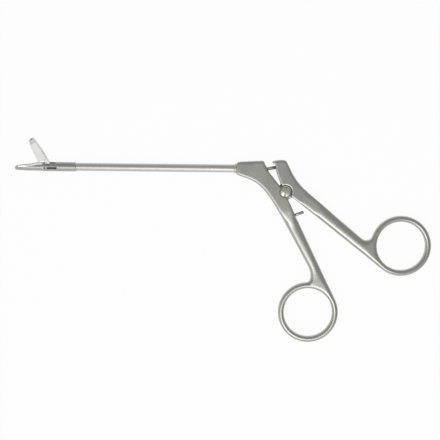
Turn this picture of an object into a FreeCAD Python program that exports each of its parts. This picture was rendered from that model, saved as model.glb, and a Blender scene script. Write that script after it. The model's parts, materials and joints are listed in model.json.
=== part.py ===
import FreeCAD, Part
import math
import os

# Nasal cutting forceps, lying on its side with the jaws open, in millimetres.
# The model is drawn about the handles' pivot: X runs along the shaft with the jaws
# at -X, Y is up from the pivot to the shaft, and Z = 0 is the handles' middle plane.
# At the end everything moves to the middle of its outline, standing on Z = 0.

V = FreeCAD.Vector
Z_AXIS = V(0, 0, 1)

# Shaft and jaws
shaft_height = 11.35          # shaft axis above the pivot
nose_x = -25.75               # front of the collar at the housing's nose
working_length = 110.0        # collar front to the tip of the fixed jaw
tube_diameter = 4.0
tube_wall = 0.55
tube_socket_depth = 8.0       # how far the tube enters the housing
rod_diameter = 1.7
rod_clearance = 0.10          # radial, in the housing and in the jaw's root
sheath_turn = 20.0            # degrees that tube and jaws are turned about the shaft

collar_length = 1.0
collar_diameter = 5.0
collar_chamfer = 0.45

root_diameter = 4.7           # thick root of the fixed jaw
root_end_from_hinge = 14.0    # hinge to the step where the tube begins
root_chamfer = 0.35
spigot_length = 6.0           # root's spigot inside the tube
hinge_from_tip = 16.9         # fixed jaw's tip to the hinge
hinge_pin_diameter = 0.9
hinge_clearance = 0.03        # radial, punch on its hinge pin
drive_pin_diameter = 0.9
drive_pin_length = 3.9
drive_slot_clearance = 0.06   # each side of the drive pin in the punch's slots
guide_slot_clearance = 0.05   # each side of the drive pin in the root's slots
guide_slot_length = 4.3       # behind the hinge
fork_slot = 2.3               # gap between the hinge cheeks
fork_floor = -1.35            # bottom of that gap from the shaft axis
fork_back = 3.3               # gap's end behind the hinge
tail_width = 2.2
blade_thickness = 0.8         # flattened front end of the rod
blade_clearance = 0.05        # each side of it in the punch's tail
blade_height = 1.2
blade_lead = 0.8              # blade in front of the drive pin
blade_back = 4.6              # blade behind the drive pin
blade_overlap = 1.2           # blade running into the round rod
blade_nose_radius = 0.55
rod_bevel = 0.35

rail_thickness = 0.72         # walls of the cutting frame
frame_end_wall = 0.95         # wall at the frame's tip
window_start = 2.75           # window's rear end in front of the hinge
frame_nose_length = 6.2       # taper of the frame's nose in plan
window_nose_length = 4.9
plan_cheek = 0.62             # where a nose begins to draw in, as a share of its taper
plan_cheek_width = 0.945      # share of the full width there
plan_corner = 0.29
plan_corner_width = 0.72
punch_clearance = 0.10        # each side of the punch in the window
punch_length = 15.7           # hinge to the punch's tip
punch_start = 3.0             # full width of the punch begins here
punch_back_rise = 1.15        # highest line of its back above the hinge
punch_back_radius = 2.45      # its back is turned to this radius
punch_depth = 3.75            # its cutting rim below the hinge
punch_nose = 0.7
punch_nose_length = 4.5       # taper of its nose in plan
neck_height = 1.9             # punch to hub
neck_overlap = 1.2
hub_radius = 1.0
hub_core_radius = 0.8         # solid core between the tail's two halves
groove_length = 4.0
groove_lead = 0.2
drive_slot_wall = 0.4
jaw_opening = 63.0            # degrees that the punch turns

# Handles
squeeze_angle = 8.0           # degrees between open and the stop pin
housing_thickness = 6.6
bow_thickness = 4.7           # shanks at the rings, and the rings
ring_outer_radius = 15.15
ring_wall = 2.95
ring_edge = 1.35              # rounding of the rings' edges
ring_edge_bands = 2           # flat bands that make up that rounding
shank_edge = 1.75             # rounding of the shanks' edges
front_ring_x = 12.35
front_ring_y = -60.75
rear_ring_x = 58.65
rear_ring_y = -26.65
plate_chamfer = 0.7
plate_flat_length = 9.5       # flat sides from the pivot to where they fade out
plate_runout = 11.0           # length of that fading
plate_sink = 0.3              # how far below the shank's faces it ends
housing_width = 14.0          # room across the plates for the wedges that thin them
front_plate_angle = -62.0
rear_plate_angle = -39.0
head_reach = 8.0              # length of the rod's slot from the ball

ear_radius = 3.15             # round cheeks about the pivot
tongue_radius = 4.3           # rear handle's eye between the cheeks
tongue_thickness = 3.0
tongue_side_clearance = 0.05
eye_clearance = 0.15          # round edges about the pivot
screw_diameter = 3.2
screw_clearance = 0.04        # radial, rear handle on its screw
seat_clearance = 0.02         # radial, pieces that are brazed, pressed or screwed in
screw_head_diameter = 4.9
screw_head_depth = 1.1        # head let into the cheek
screw_head_rise = 0.55
screw_rim_rise = 0.1          # head's rim above the cheek, below the dome
dome_bands = 2                # bevels that make up the dome
screw_slot_width = 0.8
screw_slot_depth = 0.8
screw_slot_angle = 83.0

stop_pin_diameter = 1.55
stop_pin_angle = 20.0         # above +X
stop_pin_seat = 2.5           # length inside the shank
stop_pin_start = V(5.05, -11.75, 0)
stop_pin_bevel = 0.3
stop_gap = 0.05               # left between pin and shank at the limit

ball_rise = 1.4               # ball above the shaft axis, at the rod's sloping rear end
bend_x = -9.6                 # where that slope begins
ball_diameter = 2.8
ball_width = 2.4              # between the flats at the rod
ball_bands = 4                # bevels that make up the ball
rod_end_past_ball = 0.6
ball_clearance = 0.07         # radial, in the head's socket
neck_clearance = 0.14         # above and below the rod in the head's slot
socket_floor = 1.2            # wall left over the socket on the seen side


# Shapes from a few lines

def line(a, b):
    return Part.LineSegment(a, b).toShape()


def arc(a, middle, b):
    return Part.Arc(a, middle, b).toShape()


def curve(points):
    spline = Part.BSplineCurve()
    spline.interpolate(points)
    return spline.toShape()


def chain(points):
    return [line(a, b) for a, b in zip(points, points[1:])]


def arc_points(centre, radius, start, end, steps):
    """Points of an arc between two angles in degrees, evenly spaced."""
    turn = (end - start) / steps
    return [centre + unit(start + turn * step) * radius for step in range(steps + 1)]


def direction_of(vector):
    return math.degrees(math.atan2(vector.y, vector.x))


def polygon(points):
    return Part.makePolygon(points + [points[0]])


def plate(wire, low, high):
    """A flat wire in the XY plane made a plate from Z = low to Z = high."""
    face = Part.Face(wire)
    face.translate(V(0, 0, low))
    return face.extrude(V(0, 0, high - low))


def disc(x, y, radius, low, high):
    return Part.makeCylinder(radius, high - low, V(x, y, low), Z_AXIS)


def rod_along_x(radius, start, end, y=0.0):
    return Part.makeCylinder(radius, end - start, V(start, y, 0), V(1, 0, 0))


def unit(angle):
    return V(math.cos(math.radians(angle)), math.sin(math.radians(angle)), 0)


def edges_at(shape, test):
    return [edge for edge in shape.Edges if test(edge)]


def edge_middle(edge):
    return edge.valueAt((edge.FirstParameter + edge.LastParameter) / 2)


def tangent_point(outside, centre, radius, side):
    """Where the line from a point touches a circle, on its left (1) or right (-1)."""
    to_centre = centre - outside
    spread = math.acos(radius / to_centre.Length)
    back = math.atan2(-to_centre.y, -to_centre.x)
    direction = back + side * spread
    return centre + V(math.cos(direction), math.sin(direction), 0) * radius


# Places that several pieces share

pivot = V(0, 0, 0)
half_housing = housing_thickness / 2
half_bow = bow_thickness / 2
half_slot = tongue_thickness / 2 + tongue_side_clearance
tip_x = nose_x - working_length
hinge_x = tip_x + hinge_from_tip
root_end_x = hinge_x + root_end_from_hinge
housing_front_x = nose_x + collar_length
tube_radius = tube_diameter / 2
tube_bore = tube_radius - tube_wall
rod_radius = rod_diameter / 2
root_radius = root_diameter / 2
half_squeeze = squeeze_angle / 2
ball_height = shaft_height + ball_rise
rod_travel = 2 * ball_height * math.tan(math.radians(half_squeeze))
ball_x = -rod_travel / 2
hinge_rise = rod_travel / 2 / math.tan(math.radians(jaw_opening / 2))
drive_x = hinge_x - rod_travel / 2
bend = V(bend_x, shaft_height, 0)
ball_centre = V(ball_x, ball_height, 0)
rod_slope = math.atan2(ball_rise, ball_x - bend_x)
front_ring = V(front_ring_x, front_ring_y, 0)
rear_ring = V(rear_ring_x, rear_ring_y, 0)
ring_inner_radius = ring_outer_radius - ring_wall


def round_long_edges(blank, outline):
    """Round the top and bottom edges of a flat bar that follow the given outline."""
    middles = [edge_middle(edge) for edge in outline]

    def follows(edge):
        middle = edge_middle(edge)
        flat = V(middle.x, middle.y, 0)
        on_face = abs(abs(middle.z) - half_bow) < 1e-6
        return on_face and any((flat - other).Length < 1e-3 for other in middles)

    return blank.makeFillet(shank_edge, edges_at(blank, follows))


# Finger rings

def finger_ring(centre):
    """Ring turned about its own axis, its section's corners rounded in narrow bands."""
    high = half_bow - ring_edge
    near = ring_inner_radius + ring_edge
    far = ring_outer_radius - ring_edge
    corners = [(far, high, 0), (near, high, 90), (near, -high, 180), (far, -high, 270)]
    flat = []
    for x, z, start in corners:
        flat += arc_points(V(x, z, 0), ring_edge, start, start + 90, ring_edge_bands)
    section = polygon([centre + V(corner.x, 0, corner.y) for corner in flat])
    return Part.Face(section).revolve(centre, Z_AXIS, 360)


# Front handle: ring, shank and forked housing

front_shank_top_left = V(-5.3, -6.15, 0)
front_shank_bend = V(11.6, -36.6, 0)
front_shank_flare = V(12.75, -38.9, 0)
front_shank_low = V(13.35, -41.3, 0)
front_root_angle = 75.0       # where the shank's root ends inside the ring
root_overlap = 1.2            # root of either shank inside its ring
front_corner_radius = 2.2
front_rear_edge = V(1.2, -3.35, 0)


def front_shank():
    """Tapering shank whose rear edge runs tangent into the ring."""
    touch = tangent_point(front_rear_edge, front_ring, ring_outer_radius, -1)
    corner = front_corner_radius
    corner_x = front_shank_low.x - corner
    reach = ring_outer_radius + corner
    corner_y = front_ring_y + math.sqrt(reach ** 2 - (corner_x - front_ring_x) ** 2)
    corner_centre = V(corner_x, corner_y, 0)
    to_ring = direction_of(front_ring - corner_centre)
    on_shank, between, on_ring = arc_points(corner_centre, corner, 0, to_ring, 2)
    inside = front_ring + unit(front_root_angle) * (ring_outer_radius - root_overlap)
    outline = chain([front_shank_top_left, front_shank_bend, front_shank_flare,
                     front_shank_low, on_shank]) + [arc(on_shank, between, on_ring)]
    back = line(touch, front_rear_edge)
    hidden = chain([on_ring, inside, touch])
    top = line(front_rear_edge, front_shank_top_left)
    wire = Part.Wire(Part.__sortEdges__(outline + hidden + [back, top]))
    blank = plate(wire, -half_bow, half_bow)
    return round_long_edges(blank, outline + [back])



housing_top_front = V(housing_front_x, 14.8, 0)
housing_top_back = V(-11.3, 15.5, 0)
housing_back_upper = V(-10.6, 14.5, 0)
housing_back_round = V(-10.85, 15.2, 0)
housing_back_bend = V(-8.25, 9.75, 0)
housing_back_low = V(-3.4, 3.75, 0)
ear_back_angle = 135.0        # where the housing's edges meet the round cheeks
ear_middle_angle = 32.0
ear_front_angle = -71.0
housing_bottom_front = V(housing_front_x, 8.5, 0)
nose_cut_top = 1.1            # slanted corners of the nose
nose_cut_bottom = 0.6
plate_front = V(5.0, -11.2, 0)
plate_end = V(6.3, -20.3, 0)
shank_left_at_plate = V(-1.55, -12.8, 0)


def housing_outline():
    """Side view of the flat housing, from its nose to the pointed end on the shank."""
    ear_back = unit(ear_back_angle) * ear_radius
    ear_front = unit(ear_front_angle) * ear_radius
    nose_top = housing_top_front - V(0, nose_cut_top, 0)
    nose_top_back = housing_top_front + V(nose_cut_top, 0, 0)
    nose_bottom = housing_bottom_front + V(0, nose_cut_bottom, 0)
    nose_bottom_back = housing_bottom_front + V(nose_cut_bottom, -nose_cut_bottom / 3, 0)
    belly = curve([nose_bottom_back, V(-21.3, 7.2, 0), V(-17.2, 5.75, 0), V(-13.2, 3.2, 0),
                   V(-10.1, 0.2, 0), V(-7.3, -3.55, 0), V(-4.3, -8.2, 0), shank_left_at_plate])
    bevelled = [
        belly,
        line(nose_bottom_back, nose_bottom),
        line(nose_bottom, nose_top),
        line(nose_top, nose_top_back),
        line(nose_top_back, housing_top_back),
        arc(housing_top_back, housing_back_round, housing_back_upper),
        line(housing_back_upper, housing_back_bend),
    ]
    plain = [
        line(housing_back_bend, housing_back_low),
        line(housing_back_low, ear_back),
        arc(ear_back, unit(ear_middle_angle) * ear_radius, ear_front),
        line(ear_front, plate_front),
        line(plate_front, plate_end),
        line(plate_end, shank_left_at_plate),
    ]
    return bevelled, plain


def runout(angle):
    """Two wedges that bring the flat sides of a plate down to its rounded shank."""
    start = plate_flat_length
    far = start + 3 * plate_runout
    drop = 3 * (half_housing - half_bow + plate_sink)
    profile = polygon([
        V(start, -housing_width, half_housing),
        V(far, -housing_width, half_housing - drop),
        V(far, -housing_width, half_housing + 1),
        V(start, -housing_width, half_housing + 1),
    ])
    upper = Part.Face(profile).extrude(V(0, 2 * housing_width, 0))
    lower = upper.mirror(V(0, 0, 0), Z_AXIS)
    both = upper.fuse(lower)
    both.rotate(pivot, Z_AXIS, angle)
    return both


def chamfer_plate(blank, outline, size):
    """Bevel both rims of a plate along the given stretch of its outline."""
    middles = [edge_middle(edge) for edge in outline]

    def follows(edge):
        middle = edge_middle(edge)
        flat = V(middle.x, middle.y, 0)
        on_face = abs(abs(middle.z) - half_housing) < 1e-6
        return on_face and any((flat - other).Length < 1e-3 for other in middles)

    return blank.makeChamfer(size, edges_at(blank, follows))


def front_handle():
    """Ring, shank and housing in one, forked about the pivot for the rear handle."""
    bevelled, plain = housing_outline()
    blank = plate(Part.Wire(Part.__sortEdges__(bevelled + plain)), -half_housing, half_housing)
    body = chamfer_plate(blank, bevelled, plate_chamfer)
    body = body.cut(runout(front_plate_angle))
    shank = front_shank()
    ring_hole = disc(front_ring_x, front_ring_y, ring_inner_radius + ring_edge, -half_bow, half_bow)
    handle = finger_ring(front_ring).fuse([shank.cut(ring_hole), body])
    head_seat = half_housing - screw_head_depth
    pin_start = stop_pin_start - unit(stop_pin_angle) * stop_pin_seat
    pin_radius = stop_pin_diameter / 2 + seat_clearance
    cuts = [
        disc(0, 0, tongue_radius + eye_clearance, -half_slot, half_slot),
        disc(0, 0, screw_diameter / 2 + seat_clearance, -half_housing - 1, half_housing + 1),
        disc(0, 0, screw_head_diameter / 2 + seat_clearance, head_seat, half_housing + 1),
        rod_along_x(tube_radius + seat_clearance, housing_front_x - 1,
                    housing_front_x + tube_socket_depth, shaft_height),
        rod_along_x(rod_radius + rod_clearance, housing_front_x, 0, shaft_height),
        Part.makeCylinder(pin_radius, stop_pin_seat + 3, pin_start, unit(stop_pin_angle)),
    ]
    return handle.cut(cuts)


# Rear handle: ring, shank and the head that pulls the rod

rear_lower_start = V(3.25, -2.5, 0)
rear_upper_start = V(9.85, 1.25, 0)
rear_upper_angle = -39.9
rear_corner_radius = 3.2
rear_plate_low = rear_lower_start + unit(-38.0) * 15.5
rear_plate_high = V(24.0, -10.6, 0)
head_front_low = V(-2.55, 4.5, 0)
head_front_high = V(-5.0, 11.2, 0)
hook_inside = V(-5.15, 14.0, 0)
hook_low = V(-6.45, 14.1, 0)
hook_tip = V(-6.65, 15.25, 0)
hook_back = V(-3.25, 15.9, 0)
head_top = V(-1.0, 15.95, 0)
head_top_round = V(0.1, 15.6, 0)
head_top_back = V(0.85, 14.6, 0)
head_back = V(2.85, 10.6, 0)
head_back_hollow = V(5.55, 6.05, 0)
rear_root_angle = 160.0


def rear_shank():
    """Shank whose lower edge runs tangent into the ring, with a round corner above."""
    touch = tangent_point(rear_lower_start, rear_ring, ring_outer_radius, 1)
    along = unit(rear_upper_angle)
    above = unit(rear_upper_angle + 90)
    corner = rear_corner_radius
    reach = ring_outer_radius + corner
    offset = (rear_ring - rear_upper_start).dot(above)
    forward = (rear_ring - rear_upper_start).dot(along)
    step = forward - math.sqrt(reach ** 2 - (corner - offset) ** 2)
    corner_centre = rear_upper_start + along * step + above * corner
    to_ring = direction_of(rear_ring - corner_centre)
    on_shank, between, on_ring = arc_points(corner_centre, corner, rear_upper_angle - 90, to_ring, 2)
    inside = rear_ring + unit(rear_root_angle) * (ring_outer_radius - root_overlap)
    below = line(rear_lower_start, touch)
    outline = [line(rear_upper_start, on_shank), arc(on_shank, between, on_ring)]
    hidden = chain([on_ring, inside, touch])
    top = line(rear_upper_start, rear_lower_start)
    wire = Part.Wire(Part.__sortEdges__(outline + hidden + [below, top]))
    blank = plate(wire, -half_bow, half_bow)
    return round_long_edges(blank, outline + [below])


def head_outline():
    """Side view of the head, its hook and the flat start of the shank."""
    front = chain([pivot, head_front_low, head_front_high, hook_inside, hook_low, hook_tip])
    top = [line(hook_tip, hook_back), line(hook_back, head_top),
           arc(head_top, head_top_round, head_top_back)]
    back = [line(head_top_back, head_back), arc(head_back, head_back_hollow, rear_upper_start),
            line(rear_upper_start, rear_plate_high)]
    below = chain([rear_plate_high, rear_plate_low, rear_lower_start, pivot])
    return front, top + back, below


def rear_handle():
    """Ring, shank and head in one, thinned to a tongue where the cheeks embrace it."""
    front, bevelled, below = head_outline()
    wire = Part.Wire(Part.__sortEdges__(front + bevelled + below))
    blank = plate(wire, -half_housing, half_housing)
    body = chamfer_plate(blank, bevelled, plate_chamfer)
    body = body.cut(runout(rear_plate_angle))
    ring_hole = disc(rear_ring_x, rear_ring_y, ring_inner_radius + ring_edge, -half_bow, half_bow)
    handle = finger_ring(rear_ring).fuse([rear_shank().cut(ring_hole), body])
    half_tongue = tongue_thickness / 2
    ear_room = ear_radius + eye_clearance
    handle = handle.cut([
        disc(0, 0, ear_room, half_tongue, half_housing + 1),
        disc(0, 0, ear_room, -half_housing - 1, -half_tongue),
    ])
    handle = handle.fuse(disc(0, 0, tongue_radius, -half_tongue, half_tongue))
    neck = rod_radius + neck_clearance
    fall_open = math.tan(rod_slope) * head_reach
    fall_closed = math.tan(rod_slope + math.radians(squeeze_angle)) * head_reach
    neck_outline = polygon([
        V(ball_x, ball_height + neck, 0),
        V(ball_x - head_reach, ball_height + neck - fall_open, 0),
        V(ball_x - head_reach, ball_height - neck - fall_closed, 0),
        V(ball_x, ball_height - neck, 0),
    ])
    return handle.cut([
        disc(0, 0, screw_diameter / 2 + screw_clearance, -half_housing, half_housing),
        disc(ball_x, ball_height, ball_diameter / 2 + ball_clearance,
             -half_housing - 1, half_housing - socket_floor),
        plate(neck_outline, -half_housing - 1, rod_radius + neck_clearance),
    ])


# Screw and pins

def pivot_screw():
    """Shouldered screw with a domed, slotted head."""
    head_radius = screw_head_diameter / 2
    seat = half_housing - screw_head_depth
    top = half_housing + screw_head_rise
    shank = disc(0, 0, screw_diameter / 2, -half_housing, seat)
    dome_rise = screw_head_rise - screw_rim_rise
    dome_radius = (head_radius ** 2 + dome_rise ** 2) / (2 * dome_rise)
    dome_half = math.degrees(math.asin(head_radius / dome_radius))
    dome = arc_points(V(0, top - dome_radius, 0), dome_radius, 90 - dome_half,
                      90 - dome_half / (dome_bands + 1), dome_bands)
    flat = [V(0, seat, 0), V(head_radius, seat, 0)] + dome + [V(0, dome[-1].y, 0)]
    section = polygon([V(corner.x, 0, corner.y) for corner in flat])
    head = Part.Face(section).revolve(pivot, Z_AXIS, 360)
    slot = Part.makeBox(screw_head_diameter + 2, screw_slot_width, screw_slot_depth + 1)
    slot.translate(V(-head_radius - 1, -screw_slot_width / 2, top - screw_slot_depth))
    slot.rotate(pivot, Z_AXIS, screw_slot_angle)
    return shank.fuse(head.cut(slot))


def stop_pin():
    """Round pin with a bevelled end, long enough to meet the rear shank when squeezed."""
    direction = unit(stop_pin_angle)
    start = stop_pin_start - direction * stop_pin_seat
    lower_edge = tangent_point(rear_lower_start, rear_ring, ring_outer_radius, 1) - rear_lower_start
    closed_edge_angle = math.degrees(math.atan2(lower_edge.y, lower_edge.x)) - squeeze_angle
    normal = unit(closed_edge_angle + 90)
    turned = FreeCAD.Rotation(Z_AXIS, -squeeze_angle).multVec(rear_lower_start)
    radius = stop_pin_diameter / 2
    facing = direction.dot(normal)
    corner = (radius - stop_pin_bevel) * math.sqrt(1 - facing ** 2)
    room = (turned - stop_pin_start).dot(normal) - corner - stop_gap
    length = stop_pin_seat + room / facing
    pin = Part.makeCylinder(radius, length, start, direction)
    end = start + direction * length
    rim = edges_at(pin, lambda edge: (edge.BoundBox.Center - end).Length < 1e-3)
    return pin.makeChamfer(stop_pin_bevel, rim)


def along_hinge(radius, length, x, y):
    """Pin across the shaft, in the shaft's own upright position."""
    return Part.makeCylinder(radius, length, V(x, y, -length / 2), Z_AXIS)


# Shaft: tube, collar, rod and its ball

def on_shaft(shape):
    """Turn a piece drawn about X = shaft axis to its place about the shaft, and lift it."""
    placed = shape.copy()
    placed.rotate(pivot, V(1, 0, 0), sheath_turn)
    placed.translate(V(0, shaft_height, 0))
    return placed


def sheath_tube():
    end = housing_front_x + tube_socket_depth
    outside = rod_along_x(tube_radius, root_end_x, end)
    return outside.cut(rod_along_x(tube_bore, root_end_x - 1, end + 1))


def nose_collar():
    """Brazed collar with a bevelled front."""
    radius = collar_diameter / 2
    bore = tube_radius + seat_clearance
    section = polygon([
        V(nose_x, bore, 0),
        V(nose_x, radius - collar_chamfer, 0),
        V(nose_x + collar_chamfer, radius, 0),
        V(housing_front_x, radius, 0),
        V(housing_front_x, bore, 0),
    ])
    return Part.Face(section).revolve(pivot, V(1, 0, 0), 360)


def pull_rod():
    """Round rod, flattened and drilled in front, its rear end sloping up to the ball."""
    start = drive_x - blade_lead
    blade_end = drive_x + blade_back
    blade = Part.makeBox(blade_end + blade_overlap - start, blade_height, blade_thickness)
    blade.translate(V(start, -blade_height / 2, -blade_thickness / 2))
    nose = edges_at(blade, lambda edge: abs(edge_middle(edge).x - start) < 1e-6
                    and abs(edge_middle(edge).z) < 1e-6)
    blade = blade.makeFillet(blade_nose_radius, nose)
    straight = rod_along_x(rod_radius, blade_end, bend_x)
    front = edges_at(straight, lambda edge: abs(edge.BoundBox.XMax - blade_end) < 0.01)
    straight = straight.makeChamfer(rod_bevel, front)
    hole = along_hinge(drive_pin_diameter / 2 + seat_clearance, 2, drive_x, 0)
    rod = on_shaft(straight.fuse(blade).cut(hole))
    to_ball = ball_centre - bend
    slope_length = to_ball.Length + rod_end_past_ball
    slope = Part.makeCylinder(rod_radius, slope_length, bend, to_ball)
    return rod.fuse([slope, Part.makeSphere(rod_radius, bend)]).removeSplitter()


def rod_ball():
    """Ball with a flat at each end of its bore, fixed on the sloping end of the rod."""
    along = ball_centre - bend
    along.normalize()
    radius = ball_diameter / 2
    flat_half = math.degrees(math.asin(ball_width / ball_diameter))
    meridian = arc_points(V(0, 0, 0), radius, 90 - flat_half, 90 + flat_half, ball_bands)
    ends = [V(meridian[-1].x, 0, 0), V(meridian[0].x, 0, 0)]
    section = Part.Face(polygon(meridian + ends))
    ball = section.revolve(pivot, V(1, 0, 0), 360)
    ball.rotate(pivot, Z_AXIS, math.degrees(rod_slope))
    ball.translate(ball_centre)
    front = ball_centre - along * (ball_width / 2)
    bore_length = ball_width / 2 + rod_end_past_ball
    return ball.cut(Part.makeCylinder(rod_radius + seat_clearance, bore_length, front, along))


# Fixed jaw: round root, hinge fork and open cutting frame

def ahead(distance, y, z=0.0):
    """Point at a distance in front of the jaw hinge."""
    return V(hinge_x - distance, y, z)


def plan_block(half_width, start, end, nose_length, low, high):
    """Plan view of a jaw, straight sides and a tapering round nose, as a block in Y."""
    shoulder = end - nose_length
    cheek = end - nose_length * plan_cheek
    corner = end - nose_length * plan_corner
    edges = [line(ahead(start, low, half_width), ahead(start, low, -half_width))]
    for side in (-half_width, half_width):
        at_shoulder = ahead(shoulder, low, side)
        at_cheek = ahead(cheek, low, side * plan_cheek_width)
        at_corner = ahead(corner, low, side * plan_corner_width)
        edges.append(line(ahead(start, low, side), at_shoulder))
        edges.append(arc(at_shoulder, at_cheek, at_corner))
    left = ahead(corner, low, -half_width * plan_corner_width)
    right = ahead(corner, low, half_width * plan_corner_width)
    edges.append(arc(left, ahead(end, low, 0), right))
    face = Part.Face(Part.Wire(Part.__sortEdges__(edges)))
    return face.extrude(V(0, high - low, 0))


window_half_width = root_radius - rail_thickness
window_end = hinge_from_tip - frame_end_wall


def fixed_jaw():
    """Turned root, milled to the side profile of the frame, with the window cut out."""
    top = curve([ahead(2.0, root_radius), ahead(4.0, 2.0), ahead(7.4, 1.05), ahead(10.5, 0.5),
                 ahead(hinge_from_tip - 0.4, 0.05)])
    tip = arc(ahead(hinge_from_tip - 0.4, 0.05), ahead(hinge_from_tip, -0.6),
              ahead(hinge_from_tip - 0.4, -1.3))
    bottom = curve([ahead(hinge_from_tip - 0.4, -1.3), ahead(10.5, -1.65), ahead(6.5, -2.05),
                    ahead(3.0, -root_radius)])
    profile = Part.Wire(Part.__sortEdges__([
        line(ahead(-root_end_from_hinge, -root_radius), ahead(-root_end_from_hinge, root_radius)),
        line(ahead(-root_end_from_hinge, root_radius), ahead(2.0, root_radius)),
        top, tip, bottom,
        line(ahead(3.0, -root_radius), ahead(-root_end_from_hinge, -root_radius)),
    ]))
    side = plate(profile, -root_radius, root_radius)
    stock = rod_along_x(root_radius, tip_x, root_end_x)
    rear = edges_at(stock, lambda edge: edge.BoundBox.XMin > root_end_x - 0.1
                    and edge.Length > root_radius * 5)
    stock = stock.makeChamfer(root_chamfer, rear)
    plan = plan_block(root_radius, -root_end_from_hinge, hinge_from_tip, frame_nose_length,
                      -root_radius, root_radius)
    body = stock.common(side).common(plan)
    spigot = rod_along_x(tube_bore - seat_clearance, root_end_x - 1, root_end_x + spigot_length)
    half_fork = fork_slot / 2
    window = plan_block(window_half_width, window_start, window_end, window_nose_length,
                        -root_radius - 1, root_radius + 1)
    fork = Part.makeBox(fork_back + window_start + 1, root_radius - fork_floor + 1, fork_slot)
    fork.translate(ahead(window_start + 1, fork_floor, -half_fork))
    guide_half = drive_pin_diameter / 2 + guide_slot_clearance
    guide = Part.makeBox(guide_slot_length + window_start + 0.5, guide_half * 2, root_diameter + 2)
    guide.translate(ahead(window_start + 0.5, -guide_half, -root_radius - 1))
    return body.fuse(spigot).cut([
        window, fork, guide,
        rod_along_x(rod_radius + rod_clearance, hinge_x, root_end_x + spigot_length + 1),
        along_hinge(hinge_pin_diameter / 2 + seat_clearance, root_diameter + 1, hinge_x, hinge_rise),
    ])


def jaw_hinge_pin():
    """Pin ground flush with the round root."""
    pin = along_hinge(hinge_pin_diameter / 2, root_diameter, hinge_x, hinge_rise)
    return pin.common(rod_along_x(root_radius, hinge_x - 2, hinge_x + 2))


def drive_pin():
    return along_hinge(drive_pin_diameter / 2, drive_pin_length, drive_x, 0)


# Moving jaw, drawn closed in the frame and then opened

def punch():
    """Slightly crowned punch, its back turned round and its lower rim left sharp."""
    y = hinge_rise
    start = punch_start
    end = punch_length - punch_nose
    span = end - start
    back = curve([ahead(start, y + 0.3), ahead(start + 0.22 * span, y + punch_back_rise),
                  ahead(start + 0.5 * span, y + 0.6), ahead(start + 0.75 * span, y + 0.35),
                  ahead(end, y + 0.2)])
    nose = arc(ahead(end, y + 0.2), ahead(punch_length, y - 1.1), ahead(end, y - 2.3))
    edge = curve([ahead(end, y - 2.3), ahead(start + 0.75 * span, y - 2.95),
                  ahead(start + 0.4 * span, y - 3.3), ahead(start + 0.6, y - punch_depth)])
    heel = line(ahead(start + 0.6, y - punch_depth), ahead(start, y + 0.3))
    profile = Part.Wire(Part.__sortEdges__([back, nose, edge, heel]))
    half_punch = window_half_width - punch_clearance
    side = plate(profile, -half_punch, half_punch)
    plan = plan_block(half_punch, start - 1, punch_length, punch_nose_length,
                      -punch_depth - 1, punch_depth + 1)
    middle = y + punch_back_rise - punch_back_radius
    stock = rod_along_x(punch_back_radius, hinge_x - punch_length - 1, hinge_x, middle)
    below = Part.makeBox(punch_length + 1, 2 * punch_depth, 2 * half_punch)
    below.translate(ahead(punch_length + 1, middle - 2 * punch_depth, -half_punch))
    return side.common(plan).common(stock.fuse(below))


def drive_slot():
    """Ears about the slots for the drive pin, and the slots, radial from the hinge."""
    half_tail = tail_width / 2
    wall = drive_slot_wall
    reach = math.hypot(hinge_rise, rod_travel / 2)
    half = drive_pin_diameter / 2 + drive_slot_clearance
    near = hinge_rise
    ear = Part.makeBox(reach, 2 * (half + wall), tail_width)
    ear.translate(V(0, -half - wall, -half_tail))
    ear = ear.fuse(disc(reach, 0, half + wall, -half_tail, half_tail))
    slot = Part.makeBox(reach - near, 2 * half, tail_width + 2)
    slot.translate(V(near, -half, -half_tail - 1))
    slot = slot.fuse([disc(reach, 0, half, -half_tail - 1, half_tail + 1),
                      disc(near, 0, half, -half_tail - 1, half_tail + 1)])
    closed_angle = math.degrees(math.atan2(-hinge_rise, rod_travel / 2))
    for piece in (ear, slot):
        piece.rotate(pivot, Z_AXIS, closed_angle)
        piece.translate(V(hinge_x, hinge_rise, 0))
    return ear, slot


def moving_jaw():
    """Punch on a tail that is grooved for the rod's blade and slotted for the drive pin."""
    y = hinge_rise
    half_tail = tail_width / 2
    neck_length = punch_start + neck_overlap
    neck = Part.makeBox(neck_length, neck_height, tail_width)
    neck.translate(ahead(neck_length, y - neck_height / 2, -half_tail))
    hub = disc(hinge_x, y, hub_radius, -half_tail, half_tail)
    ear, slot = drive_slot()
    half_groove = blade_thickness / 2 + blade_clearance
    groove = Part.makeBox(groove_length, 2 * groove_length, 2 * half_groove)
    groove.translate(V(hinge_x - groove_lead, y - groove_length, -half_groove))
    groove = groove.cut(disc(hinge_x, y, hub_core_radius, -half_tail, half_tail))
    bore = disc(hinge_x, y, hinge_pin_diameter / 2 + hinge_clearance, -half_tail - 1, half_tail + 1)
    jaw = punch().fuse([neck, hub, ear]).cut([slot, groove, bore]).removeSplitter()
    jaw.rotate(V(hinge_x, y, 0), Z_AXIS, -jaw_opening)
    return jaw


def build():
    return {
        "front_handle": front_handle(),
        "rear_handle": rear_handle(),
        "pivot_screw": pivot_screw(),
        "stop_pin": stop_pin(),
        "nose_collar": on_shaft(nose_collar()),
        "sheath_tube": on_shaft(sheath_tube()),
        "pull_rod": pull_rod(),
        "rod_ball": rod_ball(),
        "fixed_jaw": on_shaft(fixed_jaw()),
        "moving_jaw": on_shaft(moving_jaw()),
        "jaw_hinge_pin": on_shaft(jaw_hinge_pin()),
        "drive_pin": on_shaft(drive_pin()),
    }


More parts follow.
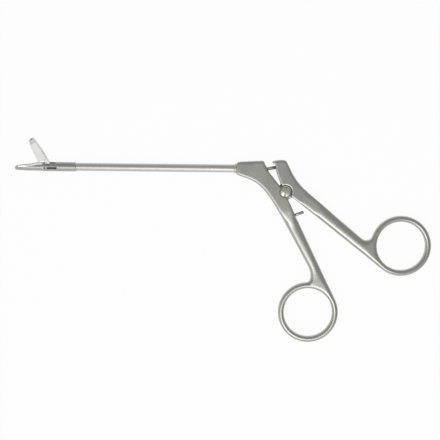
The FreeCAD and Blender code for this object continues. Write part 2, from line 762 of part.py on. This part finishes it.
def main():
    pieces = build()
    box = Part.makeCompound(list(pieces.values())).optimalBoundingBox(False, False)
    corner = V(-(box.XMin + box.XMax) / 2, -(box.YMin + box.YMax) / 2, -box.ZMin)
    print("moved by", corner)
    os.makedirs("parts", exist_ok=True)
    for name, shape in pieces.items():
        shape.translate(corner)
        box = shape.BoundBox
        print(name, shape.isValid(), len(shape.Solids), round(shape.Volume, 2),
              [round(value, 2) for value in (box.XMin, box.XMax, box.YMin, box.YMax, box.ZMin, box.ZMax)])
        shape.exportStep(os.path.join("parts", name + ".step"))


main()
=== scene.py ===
import json
import math

import bmesh
import bpy
import numpy as np
from mathutils import Matrix, Vector

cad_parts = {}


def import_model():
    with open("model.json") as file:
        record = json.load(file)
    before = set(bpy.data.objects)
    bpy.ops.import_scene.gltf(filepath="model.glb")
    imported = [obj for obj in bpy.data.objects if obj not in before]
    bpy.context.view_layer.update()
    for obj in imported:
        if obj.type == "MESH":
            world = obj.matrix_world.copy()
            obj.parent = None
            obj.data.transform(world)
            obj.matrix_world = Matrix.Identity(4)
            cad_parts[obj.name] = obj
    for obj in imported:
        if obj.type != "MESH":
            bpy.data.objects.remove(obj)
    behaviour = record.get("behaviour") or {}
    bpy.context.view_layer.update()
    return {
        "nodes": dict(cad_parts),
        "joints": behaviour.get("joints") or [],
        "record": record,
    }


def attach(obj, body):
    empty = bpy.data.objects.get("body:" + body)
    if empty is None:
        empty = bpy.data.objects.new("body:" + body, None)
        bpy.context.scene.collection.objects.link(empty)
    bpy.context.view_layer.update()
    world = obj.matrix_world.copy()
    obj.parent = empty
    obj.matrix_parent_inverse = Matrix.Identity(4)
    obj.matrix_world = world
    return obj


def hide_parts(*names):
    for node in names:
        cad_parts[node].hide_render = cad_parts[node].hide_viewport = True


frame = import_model()

# Sizes in metres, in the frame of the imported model

MM = 0.001
PHOTO_PIXELS = 440
PIXEL = 0.503 * MM            # what one pixel of the photograph spans
VIEW_CENTRE = (-1.575 * MM, 10.45 * MM, 3.3 * MM)   # what lies at the middle of the picture
VIEW_ROLL = math.radians(0.63)            # the shaft falls a little to the right
VIEW_TILT = math.radians(4.0)             # seen a little from the shaft's upper side
LENS = 100.0                              # millimetres, as the sensor
SENSOR = 36.0
CLIP_START = 0.01
CLIP_END = 20.0

MERGE_DISTANCE = 1e-7         # points of a node's loose triangles this near are one point
HANDLE_CELL = 0.24 * MM       # size of the even faces that blasted pieces are remade in
FRAME_CELL = 0.095 * MM
PUNCH_CELL = 0.06 * MM
HANDLE_ROUNDS = 10            # rounds of easing over the whole piece
FRAME_ROUNDS = 4
PUNCH_ROUNDS = 8
CREASE = math.radians(32)     # sharper edges than this stay crisp in the shading

RING_REACH = 15.15 * MM       # past this from its centre, a finger ring has become its shank
RING_BLEND = 4.0 * MM
SHANK_START = 7.5 * MM        # from here on a shank is forged round, measured from the pivot
SHANK_BLEND = 5.0 * MM
SHANK_ROUNDS = 60

BEND_REACH = 0.12             # offset from the neighbours that counts as a full bend, in cells
BEND_ROUNDS = 2
WINDOW_START = 2.0 * MM       # ahead of the jaw's hinge
WINDOW_FACING = 0.3           # how squarely a wall has to face the hinge's plane to count
WINDOW_FACING_BLEND = 0.4
WINDOW_ROUNDS = 42
WINDOW_CORE = 0.6             # averaged mask at which the polish and the painted highlight start
WINDOW_CORE_BLEND = 0.35

FLOOR_HALF = 1.5
FLOOR_GREY = 0.9
FLOOR_ROUGHNESS = 0.9
FLOOR_WHITE = 0.95            # share of plain white that the camera and the metal see

LIGHT_SIDE = (-0.35, -0.94, 0.0)          # the dome is brightest on this side
SKY_LEVELS = [(0.0, 0.42), (0.25, 0.51), (0.5, 0.44), (0.6, 0.76), (0.75, 0.9), (1.0, 0.82)]

PLACES = {mount["name"]: mount["pos_m"] for mount in frame["record"]["mounts"]}
PLACES.update({joint["name"]: joint["pos_m"] for joint in frame["joints"] if "pos_m" in joint})
HINGE_AXIS = next(joint["axis"] for joint in frame["joints"] if joint["name"] == "jaw_close")
SLOT_OF = {part["node"]: part["material_slot"] for part in frame["record"]["subparts"]}
BODY_OF = {node: body
           for body, nodes in frame["record"]["behaviour"]["bodies"].items()
           for node in nodes}


# Node groups

def new_group(name, inputs, outputs):
    """A shader group with its sockets, and its input and output nodes."""
    group = bpy.data.node_groups.new(name, "ShaderNodeTree")
    for label, kind, value in inputs:
        socket = group.interface.new_socket(name=label, in_out="INPUT", socket_type=kind)
        socket.default_value = value
    for label, kind in outputs:
        group.interface.new_socket(name=label, in_out="OUTPUT", socket_type=kind)
    return group, group.nodes.new("NodeGroupInput"), group.nodes.new("NodeGroupOutput")


def feed(tree, value, socket):
    """Set a socket to a number, or link another socket to it."""
    if isinstance(value, (int, float)):
        socket.default_value = value
    else:
        tree.links.new(value, socket)


def noise(tree, vector, scale, detail, roughness=0.5):
    """A noise texture's value, mostly between 0.25 and 0.75."""
    node = tree.nodes.new("ShaderNodeTexNoise")
    node.inputs["Detail"].default_value = detail
    node.inputs["Roughness"].default_value = roughness
    feed(tree, scale, node.inputs["Scale"])
    tree.links.new(vector, node.inputs["Vector"])
    return node.outputs["Fac"]


def math_node(tree, operation, first, second, third=None):
    """One Math node, each input a socket or a number."""
    node = tree.nodes.new("ShaderNodeMath")
    node.operation = operation
    for index, value in enumerate((first, second, third)):
        if value is not None:
            feed(tree, value, node.inputs[index])
    return node.outputs[0]


def spread(tree, value, band, onto):
    """Map a band of values, (from, to), onto another one, clamped at both ends."""
    node = tree.nodes.new("ShaderNodeMapRange")
    node.inputs["From Min"].default_value, node.inputs["From Max"].default_value = band
    node.inputs["To Min"].default_value, node.inputs["To Max"].default_value = onto
    tree.links.new(value, node.inputs["Value"])
    return node.outputs[0]


def scaled_colour(tree, colour, factor):
    """A colour multiplied by a factor."""
    node = tree.nodes.new("ShaderNodeVectorMath")
    node.operation = "SCALE"
    tree.links.new(colour, node.inputs[0])
    tree.links.new(factor, node.inputs["Scale"])
    return node.outputs[0]


def stretched_place(tree, stretch):
    """Object coordinates, plain and multiplied per axis, so that grain runs along the small ones."""
    place = tree.nodes.new("ShaderNodeTexCoord")
    node = tree.nodes.new("ShaderNodeVectorMath")
    node.operation = "MULTIPLY"
    tree.links.new(place.outputs["Object"], node.inputs[0])
    tree.links.new(stretch, node.inputs[1])
    return place.outputs["Object"], node.outputs[0]


def attribute(tree, name):
    """The value of one of the piece's own attributes."""
    node = tree.nodes.new("ShaderNodeAttribute")
    node.attribute_name = name
    return node.outputs["Fac"]


DARK_TO_LIGHT = (-1.0, 1.0)
NONE_TO_FULL = (0.0, 1.0)

GRAIN_BAND = (0.25, 0.75)     # noise values between which the effect goes from end to end
CLOUD_SCALE = 75.0
CLOUD_BAND = (0.28, 0.72)
MARK_SCALE = 420.0
MARK_BAND = (0.62, 0.75)
MARK_TONE = -0.03             # long scratches are this much darker
MARK_DEPTH = -0.5
CLOUD_ROUGHNESS = 0.04
GRAIN_ROUGHNESS = 0.03


def steel_group():
    """Worked steel: cloudy tone, grain along one axis, fine pits and a few long scratches."""
    group, start, end = new_group(
        "worked_steel",
        [("Colour", "NodeSocketColor", (0.5, 0.5, 0.5, 1)),
         ("Roughness", "NodeSocketFloat", 0.35),
         ("Stretch", "NodeSocketVector", (1, 1, 1)),
         ("Grain scale", "NodeSocketFloat", 2600.0),
         ("Grain", "NodeSocketFloat", 0.03),
         ("Cloud", "NodeSocketFloat", 0.05)],
        [("Colour", "NodeSocketColor"),
         ("Roughness", "NodeSocketFloat"),
         ("Height", "NodeSocketFloat")])
    place, stretched = stretched_place(group, start.outputs["Stretch"])
    grain = noise(group, stretched, start.outputs["Grain scale"], detail=3.0)
    grain = spread(group, grain, GRAIN_BAND, DARK_TO_LIGHT)
    cloud = noise(group, place, CLOUD_SCALE, detail=4.0)
    cloud = spread(group, cloud, CLOUD_BAND, DARK_TO_LIGHT)
    marks = noise(group, stretched, MARK_SCALE, detail=2.0, roughness=0.7)
    marks = spread(group, marks, MARK_BAND, NONE_TO_FULL)

    tone = math_node(group, "MULTIPLY_ADD", cloud, start.outputs["Cloud"], 1.0)
    tone = math_node(group, "MULTIPLY_ADD", grain, start.outputs["Grain"], tone)
    tone = math_node(group, "MULTIPLY_ADD", marks, MARK_TONE, tone)
    group.links.new(scaled_colour(group, start.outputs["Colour"], tone), end.inputs["Colour"])
    rough = math_node(group, "MULTIPLY_ADD", cloud, CLOUD_ROUGHNESS, start.outputs["Roughness"])
    rough = math_node(group, "MULTIPLY_ADD", grain, GRAIN_ROUGHNESS, rough)
    group.links.new(rough, end.inputs["Roughness"])
    height = math_node(group, "MULTIPLY_ADD", marks, MARK_DEPTH, grain)
    group.links.new(height, end.inputs["Height"])
    return group


PATCH_SCALE = 260.0
PATCH_BAND = (0.35, 0.6)
PATCH_STRENGTH = (0.35, 1.0)
RIM_BAND = (0.05, 0.5)        # values of the attribute "bend"
# bend values over which hollows get painted shade and more roughness
HOLLOW_BAND = (-0.08, -0.5)
RUBBED_ROUGHNESS = -0.06
HOLLOW_ROUGHNESS = 0.12
POLISH_ROUGHNESS = -0.15


def rim_group():
    """Handled rims rubbed brighter, painted shade darkening hollows and a painted highlight on the
    jaw window's walls, from the piece's own attributes.
    """
    group, start, end = new_group(
        "rim_wear_and_painted_light",
        [("Colour", "NodeSocketColor", (0.5, 0.5, 0.5, 1)),
         ("Roughness", "NodeSocketFloat", 0.35),
         ("Rub", "NodeSocketFloat", 0.15),
         ("Polish", "NodeSocketFloat", 0.0),
         ("Dirt", "NodeSocketFloat", 0.35)],
        [("Colour", "NodeSocketColor"),
         ("Roughness", "NodeSocketFloat")])
    bend = attribute(group, "bend")
    window = attribute(group, "window")
    place = group.nodes.new("ShaderNodeTexCoord")
    patches = noise(group, place.outputs["Object"], PATCH_SCALE, detail=4.0, roughness=0.6)
    patches = spread(group, patches, PATCH_BAND, PATCH_STRENGTH)
    outward = spread(group, bend, RIM_BAND, NONE_TO_FULL)
    inward = spread(group, bend, HOLLOW_BAND, NONE_TO_FULL)

    rubbed = math_node(group, "MULTIPLY", outward, patches)
    lift = math_node(group, "MULTIPLY", rubbed, start.outputs["Rub"])
    # painted highlight: the window mask lightens the colour, and the same value lowers the roughness
    # as polish
    polish_and_painted_highlight = math_node(group, "MULTIPLY", window, start.outputs["Polish"])
    # painted shade: hollows darkened, except under the window mask
    drop = math_node(group, "MULTIPLY", inward, start.outputs["Dirt"])
    drop = math_node(group, "MULTIPLY", drop, math_node(group, "SUBTRACT", 1.0, window))
    tone = math_node(group, "SUBTRACT", math_node(group, "ADD", lift, 1.0), drop)
    tone = math_node(group, "ADD", tone, polish_and_painted_highlight)
    group.links.new(scaled_colour(group, start.outputs["Colour"], tone), end.inputs["Colour"])
    rough = math_node(group, "MULTIPLY_ADD", rubbed, RUBBED_ROUGHNESS, start.outputs["Roughness"])
    rough = math_node(group, "MULTIPLY_ADD", inward, HOLLOW_ROUGHNESS, rough)
    rough = math_node(group, "MULTIPLY_ADD", polish_and_painted_highlight, POLISH_ROUGHNESS, rough)
    group.links.new(rough, end.inputs["Roughness"])
    return group


WORKED_STEEL = steel_group()
RIM_WEAR_AND_PAINTED_LIGHT = rim_group()


# Materials

def group_node(tree, group, **values):
    """A group placed in a material, with its inputs set by name."""
    node = tree.nodes.new("ShaderNodeGroup")
    node.node_tree = group
    for label, value in values.items():
        node.inputs[label].default_value = value
    return node


def steel(name, colour, roughness, stretch=(1, 1, 1), grain=0.03, cloud=0.05,
          rub=0.12, painted_hollow_shade=0.35, polish_and_painted_highlight=0.0, bump=0.004 * MM):
    """Metal whose colour, roughness and pits come from the two groups."""
    material = bpy.data.materials.new(name)
    material.use_nodes = True
    tree = material.node_tree
    shader = tree.nodes["Principled BSDF"]
    shader.inputs["Metallic"].default_value = 1.0
    worked = group_node(tree, WORKED_STEEL, Colour=(*colour, 1), Roughness=roughness,
                        Stretch=stretch, Grain=grain, Cloud=cloud)
    rims = group_node(tree, RIM_WEAR_AND_PAINTED_LIGHT, Rub=rub, Dirt=painted_hollow_shade, Polish=polish_and_painted_highlight)
    tree.links.new(worked.outputs["Colour"], rims.inputs["Colour"])
    tree.links.new(worked.outputs["Roughness"], rims.inputs["Roughness"])
    tree.links.new(rims.outputs["Colour"], shader.inputs["Base Color"])
    tree.links.new(rims.outputs["Roughness"], shader.inputs["Roughness"])
    pits = tree.nodes.new("ShaderNodeBump")
    pits.inputs["Strength"].default_value = 1.0
    pits.inputs["Distance"].default_value = bump
    tree.links.new(worked.outputs["Height"], pits.inputs["Height"])
    tree.links.new(pits.outputs["Normal"], shader.inputs["Normal"])
    return material


ALONG_SHAFT = (0.06, 1, 1)
ROUND_SHAFT = (1, 0.15, 0.15)

MATERIALS = {
    "handle_steel": steel("handle_steel", (0.42, 0.42, 0.39), 0.30,
                          grain=0.015, cloud=0.04, rub=0.06, bump=0.002 * MM),
    "shaft_steel": steel("shaft_steel", (0.57, 0.56, 0.54), 0.37, stretch=ROUND_SHAFT,
                         grain=0.012, cloud=0.03, bump=0.002 * MM),
    # the jaw's polish value lightens the window walls' colour as a painted highlight and lowers
    # their roughness
    "jaw_steel": steel("jaw_steel", (0.43, 0.43, 0.42), 0.30, stretch=ALONG_SHAFT,
                       rub=0.05, painted_hollow_shade=0.1, polish_and_painted_highlight=1.1),
    "punch_steel": steel("punch_steel", (0.60, 0.60, 0.59), 0.30, stretch=ALONG_SHAFT,
                         grain=0.006, cloud=0.03, rub=0.04, painted_hollow_shade=0.1, bump=0.001 * MM),
    "screw_steel": steel("screw_steel", (0.62, 0.61, 0.56), 0.20, cloud=0.02),
    "pin_steel": steel("pin_steel", (0.44, 0.43, 0.40), 0.28, stretch=ALONG_SHAFT),
}


# Pieces remade from the construction's nodes

def node_copy(name):
    """A new piece with the node's loose triangles joined into one skin."""
    mesh = frame["nodes"][name].data.copy()
    shape = bmesh.new()
    shape.from_mesh(mesh)
    bmesh.ops.remove_doubles(shape, verts=shape.verts, dist=MERGE_DISTANCE)
    shape.to_mesh(mesh)
    shape.free()
    piece = bpy.data.objects.new(name + "_skin", mesh)
    bpy.context.collection.objects.link(piece)
    return piece


def settle(piece):
    """Turn a piece's modifiers into plain mesh."""
    graph = bpy.context.evaluated_depsgraph_get()
    result = bpy.data.meshes.new_from_object(piece.evaluated_get(graph))
    piece.modifiers.clear()
    old = piece.data
    piece.data = result
    bpy.data.meshes.remove(old)


def rows(mesh, kind):
    """The mesh's points ("co") or their normals ("normal"), one row each."""
    values = np.empty(len(mesh.vertices) * 3)
    mesh.vertices.foreach_get(kind, values)
    return values.reshape(-1, 3)


def neighbour_mean(mesh):
    """A function that gives, for each point, the mean of a value over its neighbours.

    The values may be one number or one row for each point.
    """
    count = len(mesh.vertices)
    edges = np.empty(len(mesh.edges) * 2, dtype=np.int64)
    mesh.edges.foreach_get("vertices", edges)
    first, second = edges.reshape(-1, 2).T
    degree = np.maximum(np.bincount(edges, minlength=count), 1)

    def mean(values):
        if values.ndim > 1:
            return np.stack([mean(column) for column in values.T], axis=1)
        total = np.bincount(first, values[second], count) + np.bincount(second, values[first], count)
        return total / degree

    return mean


def ramp_up(values, start, width):
    """0 below start, 1 from start + width on, a smooth cubic between."""
    part = np.clip((values - start) / width, 0, 1)
    return part * part * (3 - 2 * part)


def ease(mesh, weight, rounds):
    """Move each point towards the mean of its neighbours, by half its weight a round."""
    mean = neighbour_mean(mesh)
    places = rows(mesh, "co")
    for _ in range(rounds):
        places += 0.5 * weight[:, None] * (mean(places) - places)
    mesh.vertices.foreach_set("co", places.ravel())
    mesh.update()


def shank_weight(mesh, ring):
    """1 along the shank, falling to 0 towards the pivot and towards the finger ring."""
    places = rows(mesh, "co")[:, :2]
    pivot = np.array(PLACES["squeeze"][:2])
    centre = np.array(PLACES[ring][:2])
    along = (places - pivot) @ (centre - pivot) / np.linalg.norm(centre - pivot)
    outside = np.linalg.norm(places - centre, axis=1)
    return ramp_up(along, SHANK_START, SHANK_BLEND) * ramp_up(outside, RING_REACH, RING_BLEND)


def store(mesh, name, values):
    """Keep one number for each point as an attribute of the piece."""
    mesh.attributes.new(name, "FLOAT", "POINT").data.foreach_set("value", values)


def store_bend(mesh, reach):
    """Attribute "bend": how far each point stands out of the mean of its neighbours.

    The mean offset to the neighbours is taken along the normal and divided by reach, so
    that a rim gives a positive number and a hollow a negative one. A few rounds of averaging
    over the neighbours widen it.
    """
    mean = neighbour_mean(mesh)
    places = rows(mesh, "co")
    bend = ((places - mean(places)) * rows(mesh, "normal")).sum(axis=1) / reach
    for _ in range(BEND_ROUNDS):
        bend = 0.5 * bend + 0.5 * mean(bend)
    store(mesh, "bend", np.clip(bend, -1, 1))


def store_window(mesh):
    """Attribute "window": 1 on walls that face each other across the jaws' middle plane.

    Such a wall's normal runs along the hinge axis, towards the plane through the hinge, and
    the wall lies ahead of the hinge. The averaging draws the mask back from the wall's rims,
    which keep their plain grey. Both handles lie behind the hinge and get 0.
    """
    mean = neighbour_mean(mesh)
    from_hinge = rows(mesh, "co") - np.array(PLACES["jaw_close"])
    axis = np.array(HINGE_AXIS) / np.linalg.norm(HINGE_AXIS)
    inward = -np.sign(from_hinge @ axis) * (rows(mesh, "normal") @ axis)
    mask = ramp_up(inward, WINDOW_FACING, WINDOW_FACING_BLEND) * (from_hinge[:, 0] < -WINDOW_START)
    for _ in range(WINDOW_ROUNDS):
        mask = mean(mask)
    # the material paints a highlight under this mask and polishes it
    store(mesh, "window", ramp_up(mask, WINDOW_CORE, WINDOW_CORE_BLEND))


def dress(piece, name):
    """Give a finished piece its material, body and slot, and let it stand for its node."""
    piece.data.materials.clear()
    piece.data.materials.append(MATERIALS[SLOT_OF[name]])
    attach(piece, BODY_OF[name])
    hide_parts(name)


def blasted(name, cell, rounds, ring=None):
    """A node remade in even faces whose edges are then eased, as blasting and tumbling do.

    With a ring given, the shank that leads to it is eased much more, to a rounded section.
    """
    piece = node_copy(name)
    remesh = piece.modifiers.new("even_faces", "REMESH")
    remesh.mode = "VOXEL"
    remesh.voxel_size = cell
    settle(piece)
    mesh = piece.data
    ease(mesh, np.ones(len(mesh.vertices)), rounds)
    if ring:
        ease(mesh, shank_weight(mesh, ring), SHANK_ROUNDS)
    mesh.shade_smooth()
    store_bend(mesh, BEND_REACH * cell)
    store_window(mesh)
    dress(piece, name)


def turned(name):
    """A turned or drawn node joined into one skin, smooth but for its real edges."""
    piece = node_copy(name)
    piece.data.shade_smooth()
    piece.data.set_sharp_from_angle(angle=CREASE)
    dress(piece, name)


blasted("front_handle", HANDLE_CELL, HANDLE_ROUNDS, "front_finger_ring")
blasted("rear_handle", HANDLE_CELL, HANDLE_ROUNDS, "rear_finger_ring")
blasted("fixed_jaw", FRAME_CELL, FRAME_ROUNDS)
blasted("moving_jaw", PUNCH_CELL, PUNCH_ROUNDS)
for turned_node in ("pivot_screw", "stop_pin", "nose_collar", "sheath_tube",
                    "pull_rod", "rod_ball", "jaw_hinge_pin", "drive_pin"):
    turned(turned_node)


# Floor, light and camera

def floor():
    """Pale floor that the camera and the metal see as white, keeping a faint shadow."""
    mesh = bpy.data.meshes.new("floor")
    corners = [(x * FLOOR_HALF, y * FLOOR_HALF, 0) for x, y in ((-1, -1), (1, -1), (1, 1), (-1, 1))]
    mesh.from_pydata(corners, [], [(0, 1, 2, 3)])
    piece = bpy.data.objects.new("floor", mesh)
    bpy.context.collection.objects.link(piece)
    material = bpy.data.materials.new("floor_white")
    material.use_nodes = True
    tree = material.node_tree
    shader = tree.nodes["Principled BSDF"]
    shader.inputs["Base Color"].default_value = (FLOOR_GREY, FLOOR_GREY, FLOOR_GREY, 1)
    shader.inputs["Roughness"].default_value = FLOOR_ROUGHNESS
    glow = tree.nodes.new("ShaderNodeEmission")
    path = tree.nodes.new("ShaderNodeLightPath")
    seen = math_node(tree, "MAXIMUM", path.outputs["Is Camera Ray"], path.outputs["Is Glossy Ray"])
    mix = tree.nodes.new("ShaderNodeMixShader")
    tree.links.new(math_node(tree, "MULTIPLY", seen, FLOOR_WHITE), mix.inputs[0])
    tree.links.new(shader.outputs[0], mix.inputs[1])
    tree.links.new(glow.outputs[0], mix.inputs[2])
    tree.links.new(mix.outputs[0], tree.nodes["Material Output"].inputs["Surface"])
    mesh.materials.append(material)


def world():
    """Soft grey studio dome, brighter towards LIGHT_SIDE.

    SKY_LEVELS gives the level by direction: 0 is straight away from that side, 0.5 is
    overhead and every other direction square to it, and 1 is straight towards it.
    """
    sky = bpy.data.worlds.new("studio")
    bpy.context.scene.world = sky
    sky.use_nodes = True
    tree = sky.node_tree
    place = tree.nodes.new("ShaderNodeTexCoord")
    towards = tree.nodes.new("ShaderNodeVectorMath")
    towards.operation = "DOT_PRODUCT"
    towards.inputs[1].default_value = LIGHT_SIDE
    tree.links.new(place.outputs["Generated"], towards.inputs[0])
    half = math_node(tree, "MULTIPLY_ADD", towards.outputs["Value"], 0.5, 0.5)
    ramp = tree.nodes.new("ShaderNodeValToRGB")
    tree.links.new(half, ramp.inputs[0])
    stops = ramp.color_ramp.elements
    while len(stops) < len(SKY_LEVELS):
        stops.new(0.5)
    for stop, (position, level) in zip(stops, SKY_LEVELS):
        stop.position = position
        stop.color = (level, level, level, 1)
    background = tree.nodes["Background"]
    tree.links.new(ramp.outputs["Color"], background.inputs["Color"])


def softbox(name, place, target, size, power):
    """Round area lamp at place, facing target, size across, power in watts."""
    light = bpy.data.lights.new(name, "AREA")
    light.shape = "DISK"
    light.size = size
    light.energy = power
    lamp = bpy.data.objects.new(name, light)
    bpy.context.collection.objects.link(lamp)
    aim = Vector(target) - Vector(place)
    lamp.location = place
    lamp.rotation_euler = aim.to_track_quat("-Z", "Y").to_euler()


def camera():
    """Long lens straight above, tilted about the shaft and rolled as the photograph is."""
    data = bpy.data.cameras.new("camera")
    data.lens = LENS
    data.sensor_width = SENSOR
    data.clip_start = CLIP_START
    data.clip_end = CLIP_END
    distance = PHOTO_PIXELS * PIXEL * LENS / SENSOR
    turn = Matrix.Rotation(VIEW_ROLL, 4, "Z") @ Matrix.Rotation(-VIEW_TILT, 4, "X")
    eye = bpy.data.objects.new("camera", data)
    bpy.context.collection.objects.link(eye)
    eye.matrix_world = Matrix.Translation(VIEW_CENTRE) @ turn @ Matrix.Translation((0, 0, distance))
    bpy.context.scene.camera = eye


floor()
world()
softbox("key", place=(-0.05, -0.17, 0.42), target=(0.02, -0.03, 0), size=0.30, power=0.27)
softbox("near", place=(0.03, -0.10, 0.15), target=(0.04, -0.035, 0), size=0.12, power=0.037)
camera()
bpy.context.scene.view_settings.view_transform = "Standard"
